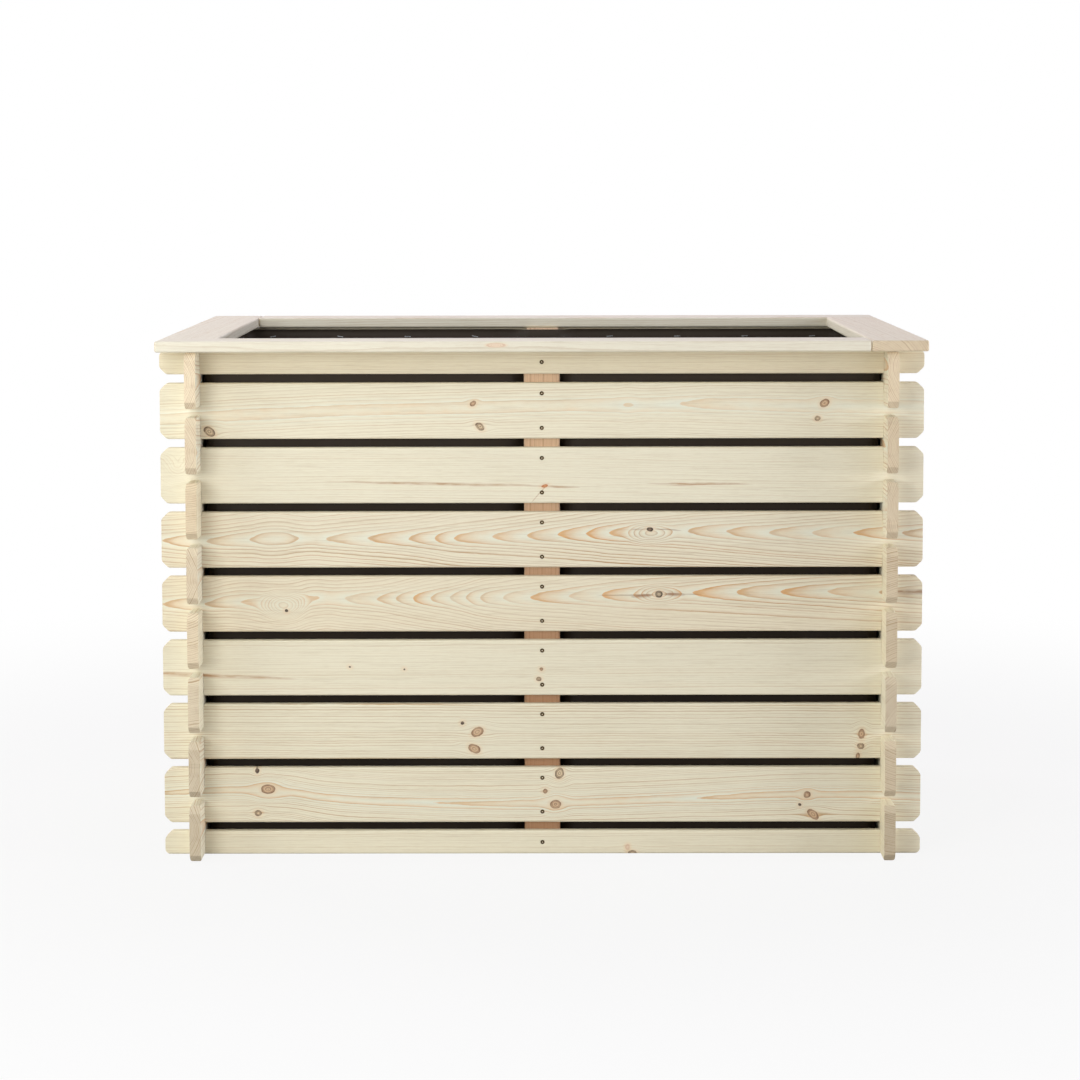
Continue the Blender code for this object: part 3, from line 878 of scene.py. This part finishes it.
def share_along(x):
    """A place along the board, from 0 to 1."""
    return (x * MM + BED_LENGTH / 2) / BED_LENGTH


def share_counted(rings):
    """A ring count as its curve holds it, from 0 to 1."""
    return (rings + RING_LIFT) / RING_SPAN


def make_up_marks(marks, chance):
    """Adds a pith, a few knots and sometimes arches."""
    side = chance.choice((-1, 1))
    marks["heart"] = (0.04 + side * chance.uniform(0.05, 0.16), chance.uniform(0.02, 0.06))
    marks["drift"] = chance.uniform(-0.03, 0.03)
    marks["contrast"] = chance.uniform(0.8, 1.5)
    for _ in range(chance.choice((0, 1, 2, 3))):
        size = chance.uniform(7, 18) * MM
        marks["knots"].append((chance.choice(("sound", "ring")), chance.uniform(-0.42, 0.42),
                               chance.uniform(0.015, 0.066), size, size * 0.72,
                               chance.uniform(-40, 40)))
    if chance.random() < ARCHED_SHARE:
        left, right = chance.uniform(8, 15), chance.uniform(0, 3)
        counts = (left, (left + right) / 2 + chance.uniform(-1.5, 1.5), right)
        heights = [chance.uniform(0.28, 0.60) for _ in counts]
        runs = (0.0, 0.5, 1.0)
        marks.update(wood=ARCH_WOOD, ring=0.0023, contrast=1.3, arches=(
            list(zip(runs, heights)), list(zip(runs, map(share_counted, counts)))))


def board_marks(name, seed):
    """The marks of one board, as pine() takes them."""
    chance = random.Random(seed * 7 + 3)
    marks = dict(BOARD_MARKS.get(name, {}))
    for kind, first, last in (("knots", 1, 5), ("swells", 0, 4), ("streaks", 0, 5)):
        marks[kind] = in_metres(marks.get(kind, []), first, last)
    if "arches" in marks:
        centre, count = marks["arches"]
        marks["arches"] = ([(share_along(x), z * MM / ARCH_REACH) for x, z in centre],
                           [(share_along(x), share_counted(rings)) for x, rings in count])
    if name not in BOARD_MARKS:
        make_up_marks(marks, chance)
    marks.setdefault("tone", 1.0 + chance.uniform(-0.010, 0.010))
    marks.setdefault("warmth", chance.uniform(-0.004, 0.010))
    return marks


# %% [markdown]
# The walls. Each board is a copy of its kind, turned into place, with a pine of its own. The ends
# of the side boards show at the front, and are a little darker towards the foot.

# %% The walls
FOOT_END_TONE, END_TONE_RISE, END_TONE_CHANCE = {"left": 0.945, "right": 0.90}, 0.12, 0.035


def add_board(name, kind, side, wall_at, height, seed, end_tone=1.0):
    place = wall_place(side, y=-wall_at, z=height)
    finish = pine("pine_" + name, place, "XZY", seed, end_tone=end_tone, **board_marks(name, seed))
    add_piece(name + "_planed", kind, finish, [name], place)


seed = 1
for side in LONG_SIDES:
    long_wall = [("half_board_bottom", FOOT_HALF_BOARD, 0.0)]
    long_wall += [(f"board_{n + 1}", LONG_BOARD, STAGGER + n * PITCH) for n in range(COURSES - 1)]
    long_wall += [("half_board_top", TOP_HALF_BOARD, TOP_HALF_BOARD_FOOT)]
    for name, kind, height in long_wall:
        add_board(f"{side}_{name}", kind, side, LONG_WALL_AT, height, seed)
        seed += 1
end_chance = random.Random(31)
for side in ("left", "right"):
    for n in range(COURSES):
        kind = SHORT_TOP_BOARD if n == COURSES - 1 else SHORT_BOARD
        end_tone = FOOT_END_TONE[side] + END_TONE_RISE * n / (COURSES - 1)
        end_tone += end_chance.uniform(-END_TONE_CHANCE, END_TONE_CHANCE)
        add_board(f"{side}_board_{n + 1}", kind, side, SHORT_WALL_AT, n * PITCH, seed, end_tone)
        seed += 1
print("wall boards:", seed - 1)

# %% [markdown]
# The rim. Four flat boards lie round the top, each butted against the side of the next. They are
# planed round on every edge, and screwed down into the walls.

# %% The rim
RIM_SEED = 60
RIM_MARKS = {
    "front": dict(knots=[("faint", -0.024, -0.0405, 0.026, 0.018, 0)], knot_middle=0.010,
                  knot_depth=0.003, swells=[(-0.040, -0.0405, 0.100, 0.060, 0, 5)]),
    "right": dict(warmth=0.01), "back": {}, "left": dict(warmth=0.004)}


def rim_mesh(name, wall_span, wall_inset, screw_places):
    length, middle = rim_run(wall_span)
    holes = [(x - middle, wall_inset, RIM_THICKNESS) for x in screw_places]
    return carved_mesh(name, planed_blank(length, RIM_WIDTH, RIM_THICKNESS, "XYZ"),
                       [rim_holes(name + "_holes", holes)])


LONG_RIM = rim_mesh("long_rim", BED_LENGTH, BED_WIDTH / 2 - RIM_WIDTH / 2 - LONG_WALL_AT,
                    LONG_RIM_SCREWS)
SHORT_RIM = rim_mesh("short_rim", BED_WIDTH, BED_LENGTH / 2 - RIM_WIDTH / 2 - SHORT_WALL_AT,
                     SHORT_RIM_SCREWS)
for number, (side, marks) in enumerate(RIM_MARKS.items()):
    mesh, span, reach = (LONG_RIM, BED_LENGTH, BED_WIDTH / 2) if side in LONG_SIDES else (
        SHORT_RIM, BED_WIDTH, BED_LENGTH / 2)
    place = wall_place(side, x=rim_run(span)[1], y=RIM_WIDTH / 2 - reach, z=RIM_FOOT)
    finish = pine("pine_rim_" + side, place, "XYZ", RIM_SEED + number, wood=RIM_WOOD,
                  heart=(0.10 - 0.05 * number, 0.05), drift=0.012, contrast=0.7, **marks)
    add_piece("rim_" + side + "_planed", mesh, finish, ["rim_" + side], place)
print("rim boards:", len(RIM_MARKS))

# %% [markdown]
# The battens stand behind the middle of the long walls, and every board is screwed to them. Their
# wood is redder and darker than the boards', and it only shows in the gaps.

# %% The battens
BATTEN_SEED = 80
WALL_FACE = -LONG_WALL_AT - BOARD_THICKNESS / 2
BATTEN_MIDDLE = -LONG_WALL_AT + BOARD_THICKNESS / 2 + FIT + BATTEN_THICKNESS / 2
BATTEN_SCREW_HEIGHTS = [
    *HALF_SCREWS, *(STAGGER + n * PITCH + z for n in range(COURSES - 1) for z in FULL_SCREWS),
    *(TOP_HALF_BOARD_FOOT + z for z in HALF_SCREWS)]
BATTEN = carved_mesh(
    "batten", planed_blank(BATTEN_WIDTH, BATTEN_THICKNESS, WALL_HEIGHT, "Z"),
    [batten_holes("batten_holes", WALL_FACE - BATTEN_MIDDLE, BATTEN_SCREW_HEIGHTS)])
for number, side in enumerate(LONG_SIDES):
    place = wall_place(side, y=BATTEN_MIDDLE)
    # The batten's foot gets painted shade, darker towards the floor.
    finish = pine("pine_batten_" + side, place, "ZXY", BATTEN_SEED + number, wood=BATTEN_WOOD,
                  heart=(0.05, 0.05), damp_foot=0.75)
    add_piece(side + "_batten_planed", BATTEN, finish, [side + "_batten"], place)
print("screws in a batten:", len(BATTEN_SCREW_HEIGHTS))

# %% [markdown]
# The screws have countersunk heads with a cross recess. It is cut with one wedge after the other,
# because two wedges that cross in one cutter give an empty boolean.

# %% The shape of a screw
HEAD_EDGE = 0.00015
RECESS_FOOT_RADIUS, RECESS_TOP_RADIUS, RECESS_SLIMNESS = 0.0004, 0.0017, 0.28
WEDGE_HEIGHT, WEDGE_MIDDLE = 0.0022, 0.0006


def screw_mesh(name, length):
    head, shank, tip = SCREW_HEAD_RADIUS, SCREW_SHANK_RADIUS, -SCREW_SINK - length
    profile = [(0, -SCREW_SINK), (head - HEAD_EDGE, -SCREW_SINK), (head, -SCREW_SINK - HEAD_EDGE),
               (shank, -SCREW_SINK - SCREW_HEAD_DEPTH), (shank, tip + SCREW_POINT), (0, tip)]
    lift = Matrix.Translation((0, 0, -SCREW_SINK - WEDGE_MIDDLE))
    cross = []
    for turned in (0, math.pi / 2):
        slim = Matrix.Rotation(turned, 4, "Z") @ Matrix.Diagonal((1, RECESS_SLIMNESS, 1, 1))
        slim = slim @ Matrix.Rotation(math.pi / 4, 4, "Z")
        wedge = bmesh.new()
        bmesh.ops.create_cone(wedge, cap_ends=True, segments=4, radius1=RECESS_FOOT_RADIUS,
                              radius2=RECESS_TOP_RADIUS, depth=WEDGE_HEIGHT, matrix=lift @ slim)
        cross.append(workpiece(name + "_recess", wedge))
    screw = carved_mesh(name, turned_shape(profile), cross, ease=0.0)
    print(name, len(screw.polygons), "faces")
    return screw


BATTEN_SCREW = screw_mesh("batten_screw", BATTEN_SCREW_LENGTH)
RIM_SCREW = screw_mesh("rim_screw", RIM_SCREW_LENGTH)

# %% [markdown]
# The plating is dull zinc. The recess, which is what lies deeper than the head's face, gets a
# painted highlight that makes it bright.

# %% Metal
SCREW_SHADE, RECESS_HIGHLIGHT, STEEL_SHADE = (84, 70, 50), (250, 244, 228), (176, 178, 180)
RECESS_FROM, RECESS_FULL = 0.0001, 0.0004


def metal(name, shade, roughness, axis=None, face=0.0):
    """A mottled metal. Given a screw's face on an axis, its recess gets a painted highlight."""
    finish = Finish(name)
    mottle = finish.noise(finish.point, 900.0, 3.0)
    plated = finish.mix(mottle * 1.2 + 0.5, tuple(v * 0.8 for v in shade), shade)
    if axis:
        deep = finish.step(abs(finish.part(finish.point, axis)), face - RECESS_FROM,
                           face - RECESS_FULL)
        # Painted highlight: the recess is painted bright.
        plated = finish.mix(deep, plated, RECESS_HIGHLIGHT)
    return finish.dress({"Base Color": plated, "Roughness": mottle * 0.3 + roughness,
                         "Metallic": 1.0})


WALL_ZINC = metal("zinc_wall_screw", SCREW_SHADE, 0.45, "Y", -WALL_FACE - SCREW_SINK)
RIM_ZINC = metal("zinc_rim_screw", SCREW_SHADE, 0.45, "Z", RIM_TOP - SCREW_SINK)
STEEL = metal("staple_steel", STEEL_SHADE, 0.3)
print("metals:", WALL_ZINC.name, RIM_ZINC.name, STEEL.name)

# %% [markdown]
# The screws in place. No two heads are turned alike. The screws of a batten are one piece, and so
# are the rim's.

# %% The screws
def add_group(name, mesh, places, material, nodes):
    group = smooth_mesh(new_mesh(name, gather(mesh, places)))
    add_piece(name, group, material, nodes)


for side in LONG_SIDES:
    spins = random.Random(len(side))
    places = [wall_place(side) @ Matrix.Translation((0, WALL_FACE, z)) @ INTO_WALL
              @ Matrix.Rotation(spins.uniform(0, 3), 4, "Z") for z in BATTEN_SCREW_HEIGHTS]
    add_group(side + "_batten_screws", BATTEN_SCREW, places, WALL_ZINC,
              [side + "_batten"])
rim_places, rim_nodes = [], []
spins = random.Random(4)
for side in ("front", "back", "left", "right"):
    wall_at, screws = (LONG_WALL_AT, LONG_RIM_SCREWS) if side in LONG_SIDES else (
        SHORT_WALL_AT, SHORT_RIM_SCREWS)
    for number, x in enumerate(screws, 1):
        spin = Matrix.Rotation(spins.uniform(0, 3), 4, "Z")
        rim_places.append(wall_place(side, x, -wall_at, RIM_TOP) @ spin)
        rim_nodes.append(f"rim_screw_{side}_{number}")
add_group("rim_screws", RIM_SCREW, rim_places, RIM_ZINC, rim_nodes)
print("screws:", 2 * len(BATTEN_SCREW_HEIGHTS) + len(rim_places))

# %% [markdown]
# The film. Black plastic is stapled round the inside. It starts as a box without a lid or a bottom,
# its upright corners rounded, stepped in over each batten, and cut into a fine net.

# %% The net of the film
LINER_FOOT, LINER_TOP = 0.004, WALL_HEIGHT - 0.003
FILM_THICKNESS, NET = 0.0004, 0.024
LINER_OFF = BOARD_THICKNESS / 2 + (FIT + FILM_THICKNESS)
HALF_LENGTH, HALF_WIDTH = SHORT_WALL_AT - LINER_OFF, LONG_WALL_AT - LINER_OFF
BATTEN_STEP, BATTEN_MARGIN = BATTEN_THICKNESS + FIT, 0.004
LINER_RAMP, LINER_CORNER, CORNER_STEPS = 0.016, 0.020, 5


def cut_net(shape, axis, places):
    """Cuts a shape across an axis at each place."""
    direction = Vector([float(i == axis) for i in range(3)])
    for at in places:
        cut(shape, at * direction, direction)


def spread(low, high, step):
    """Places between low and high, about a step apart."""
    count = max(1, round((high - low) / step))
    return [low + (high - low) * i / count for i in range(1, count)]


def film_net():
    film = bmesh.new()
    add_box(film, (2 * HALF_LENGTH, 2 * HALF_WIDTH, LINER_TOP - LINER_FOOT),
            (0, 0, (LINER_TOP + LINER_FOOT) / 2))
    lids = [face for face in film.faces if abs(face.normal.z) > 0.5]
    bmesh.ops.delete(film, geom=lids, context="FACES_ONLY")
    round_edges(film, edges_along(film, "Z"), LINER_CORNER, CORNER_STEPS)
    half = BATTEN_WIDTH / 2 + BATTEN_MARGIN
    edges = [half - BATTEN_MARGIN, half, half + LINER_RAMP]
    cut_net(film, 0, [-x for x in edges] + edges)
    for vert in film.verts:
        if abs(vert.co.x) < half + 0.001:
            vert.co.y -= math.copysign(BATTEN_STEP, vert.co.y)
    side = spread(half + LINER_RAMP, HALF_LENGTH - LINER_CORNER, NET)
    cut_net(film, 0, [-x for x in side] + [0.0] + side)
    cut_net(film, 1, spread(-HALF_WIDTH + LINER_CORNER, HALF_WIDTH - LINER_CORNER, NET))
    cut_net(film, 2, spread(LINER_FOOT, LINER_TOP, NET))
    return film


film = film_net()
round_the_film = sum(edge.calc_length() for edge in film.edges
                     if all(abs(vert.co.z - LINER_FOOT) < 1e-4 for vert in edge.verts))
print("film round the bed:", round(round_the_film, 3), "faces:", len(film.faces))

# %% [markdown]
# The waves of the film. Each point of the net is pushed a little towards the middle of the bed by
# smooth noises. Near the staples it is held.

# %% The waves of the film
STAPLE_AT, HELD_REACH, HELD_SHARE = LINER_TOP - 0.012, 0.12, 0.15
WAVE, CREASE, ON_SHORT_WALL, ON_LONG_WALL = 0.0018, 0.0022, 0.95, 0.90


def way_in(place, wall_at, share):
    """1 or -1 towards the middle for a point on a wall, and 0 for any other."""
    return -math.copysign(1.0, place) if abs(place) > share * wall_at else 0.0


for vert in film.verts:
    x, y, z = vert.co
    inward = Vector((way_in(x, HALF_LENGTH, ON_SHORT_WALL), way_in(y, HALF_WIDTH, ON_LONG_WALL), 0))
    free = min(1.0, max(0.0, (STAPLE_AT - z) / HELD_REACH))
    wave = noise.noise(Vector((x * 9, y * 9, z * 5)))
    crease = abs(noise.noise(Vector((x * 23 + 7, y * 23, z * 13))))
    vert.co += inward * (free * (WAVE + WAVE * wave)
                         + (HELD_SHARE + (1 - HELD_SHARE) * free) * CREASE * crease)
bmesh.ops.recalc_face_normals(film, faces=film.faces)
film_mesh = new_mesh("film", film)
film_mesh.polygons.foreach_set("use_smooth", [True] * len(film_mesh.polygons))
print("points of the film:", len(film_mesh.vertices))

# %% [markdown]
# The film's finish. Black plastic is a warm dark brown, painted paler towards its top. A
# subdivision surface smooths its waves, and Solidify gives it its thickness.

# %% The film
def black_film():
    film = Finish("black_film")
    crinkle = film.noise(film.point, 38.0, 4.0, 0.6)
    dust = film.noise(film.point, 14.0, 3.0)
    black = film.mix(dust + 0.5, (24, 17, 11), (39, 30, 20))
    # The film is painted paler towards its top.
    paler_top = film.step(film.part(film.point, "Z"), 0.35, 0.72) * 0.5
    return film.dress({
        "Base Color": film.mix(paler_top, black, (74, 65, 56)),
        "Roughness": dust * 0.2 + 0.55, "Specular IOR Level": 0.15,
        "Normal": film.node("Bump", {"Height": crinkle, "Strength": 0.4, "Distance": 0.004})})


liner = add_piece("film_liner", film_mesh, black_film(), ["liner"])
smooth = liner.modifiers.new("Smooth", "SUBSURF")
smooth.levels = smooth.render_levels = 1
thick = liner.modifiers.new("Thickness", "SOLIDIFY")
thick.thickness, thick.offset = FILM_THICKNESS, 0.0
round(LINER_TOP - LINER_FOOT, 4)
print("film laid flat:", round(round_the_film, 3), "by", round(LINER_TOP - LINER_FOOT, 4))

# %% [markdown]
# Staples hold the film's top edge. One staple is a thin bar, bent over at both ends, made as a box
# with two legs drawn out of its ends. The rest are copies round the bed.

# %% The staples
STAPLE_SIZE, LEG_FROM, LEG, STAPLE_EASE = (0.0100, 0.0006, 0.0012), 0.0042, 0.0030, 0.00012
STAPLE_SPACING, STAPLE_MARGIN, STAPLE_OFF, STAPLE_LEAN = 0.110, 0.045, 0.0009, 0.25
PAST_BATTEN = BATTEN_WIDTH / 2 + BATTEN_MARGIN + LINER_RAMP + 0.006


def staple_mesh():
    """A staple with its back towards +Y and its legs towards -Y."""
    wire = bmesh.new()
    add_box(wire, STAPLE_SIZE, (0, 0, 0))
    cut_net(wire, 0, (-LEG_FROM, LEG_FROM))
    feet = [face for face in wire.faces
            if face.normal.y < -0.5 and abs(face.calc_center_median().x) > LEG_FROM]
    for face in bmesh.ops.extrude_discrete_faces(wire, faces=feet)["faces"]:
        bmesh.ops.translate(wire, verts=face.verts, vec=(0, -LEG, 0))
    round_edges(wire, wire.edges[:], STAPLE_EASE, 1)
    return new_mesh("staple", wire)


staple_places = []
chance = random.Random(12)
for side in ("front", "back", "left", "right"):
    wall_inside, half_run = (HALF_WIDTH, HALF_LENGTH) if side in LONG_SIDES else (
        HALF_LENGTH, HALF_WIDTH)
    count = round(2 * half_run / STAPLE_SPACING)
    for i in range(count):
        x = -half_run + STAPLE_MARGIN + (2 * half_run - 2 * STAPLE_MARGIN) * i / (count - 1)
        if abs(x) > PAST_BATTEN or side not in LONG_SIDES:
            lean = Matrix.Rotation(chance.uniform(-STAPLE_LEAN, STAPLE_LEAN), 4, "Y")
            place = wall_place(side, x, -wall_inside + STAPLE_OFF, STAPLE_AT)
            staple_places.append(place @ lean)
add_group("liner_staples", staple_mesh(), staple_places, STEEL, ["liner"])
print("staples:", len(staple_places))

# %% [markdown]
# The studio. The camera and the reflections see the pale floor and the surround mostly as white, by
# Light Path, so that nothing has to be lit harder to be white. Near the bed a trace of the real
# floor is kept for the shadow.

# %% The studio
FLOOR_RADIUS, SHADOW_FROM, SHADOW_TO, SHADOW_WHITE = 14.0, 0.7, 2.4, 0.86
SOFT_SHADE, SOFT_STRENGTH, WHITE = (1.0, 0.99, 0.97, 1.0), 0.03, (1.0, 1.0, 1.0, 1.0)
scene = bpy.context.scene
scene.view_settings.view_transform = "Standard"

floor_shape = bmesh.new()
bmesh.ops.create_circle(floor_shape, cap_ends=True, segments=64, radius=FLOOR_RADIUS)
floor = new_object("floor", new_mesh("floor", floor_shape))

ground = Finish("studio_floor")
pale = ground.mix(ground.noise(ground.point, 3.0) + 0.5, (196, 195, 193), (199, 198, 197))
floor.data.materials.append(ground.dress({"Base Color": pale, "Roughness": 0.9}))
away = ground.step(ground.length(ground.point), SHADOW_FROM, SHADOW_TO, SHADOW_WHITE, 1.0)
lit = Wire(ground, ground.shader.outputs[0])
glow = ground.node("Emission", {"Color": WHITE, "Strength": 1.0})
mixed = ground.node("MixShader", {0: ground.seen_rays() * away, 1: lit, 2: glow})
ground.feed(ground.tree.nodes["Material Output"].inputs["Surface"], mixed)

scene.world = bpy.data.worlds.new("studio")
scene.world.use_nodes = True
surround = Nodes(scene.world.node_tree)
background = surround.tree.nodes["Background"]
surround.feed(background.inputs["Color"], SOFT_SHADE)
surround.feed(background.inputs["Strength"], SOFT_STRENGTH)
soft = Wire(surround, background.outputs[0])
glow = surround.node("Background", {"Color": WHITE, "Strength": 1.0})
mixed = surround.node("MixShader", {0: surround.seen_rays(), 1: soft, 2: glow})
surround.feed(surround.tree.nodes["World Output"].inputs["Surface"], mixed)
print("floor radius:", FLOOR_RADIUS)

# %% [markdown]
# The lamps are soft and round, most of them on the left. For each: where it stands, how high it
# aims, its watts and its colour.

# %% The lamps
LAMP_SIZE = 1.6
LAMPS = {
    "front_low": ((-1.373, -2.945, 0.973), 0.4, 31.5, (0.985, 0.975, 0.93)),
    "front_high": ((-1.068, -2.291, 2.521), 0.4, 22.5, (0.99, 0.975, 0.95)),
    "left_high": ((-2.442, -0.654, 2.521), 0.4, 19.0, (0.94, 0.985, 1.0)),
    "left_low": ((-2.9, -1.5, 1.2), 0.4, 27.0, (0.94, 0.985, 1.0)),
    "right_low": ((3.139, -0.841, 0.973), 0.4, 70.0, (0.90, 0.92, 1.0)),
    "right_front": ((2.2, -2.6, 1.0), 0.4, 11.5, (0.95, 0.93, 1.0)),
    "back_left": ((-2.8, 2.8, 1.5), 0.4, 50.0, (1.0, 0.975, 0.95)),
    "back_high": ((0.0, 1.3, 3.0), 0.6, 33.0, (0.88, 0.77, 1.0))}
for name, (at, aim_height, power, shade) in LAMPS.items():
    data = bpy.data.lights.new(name, "AREA")
    data.shape, data.size, data.energy, data.color = "DISK", LAMP_SIZE, power, shade
    new_object(name, data).matrix_world = looking(at, Vector((0, 0, aim_height)) - Vector(at))
print("lamps:", len(LAMPS))
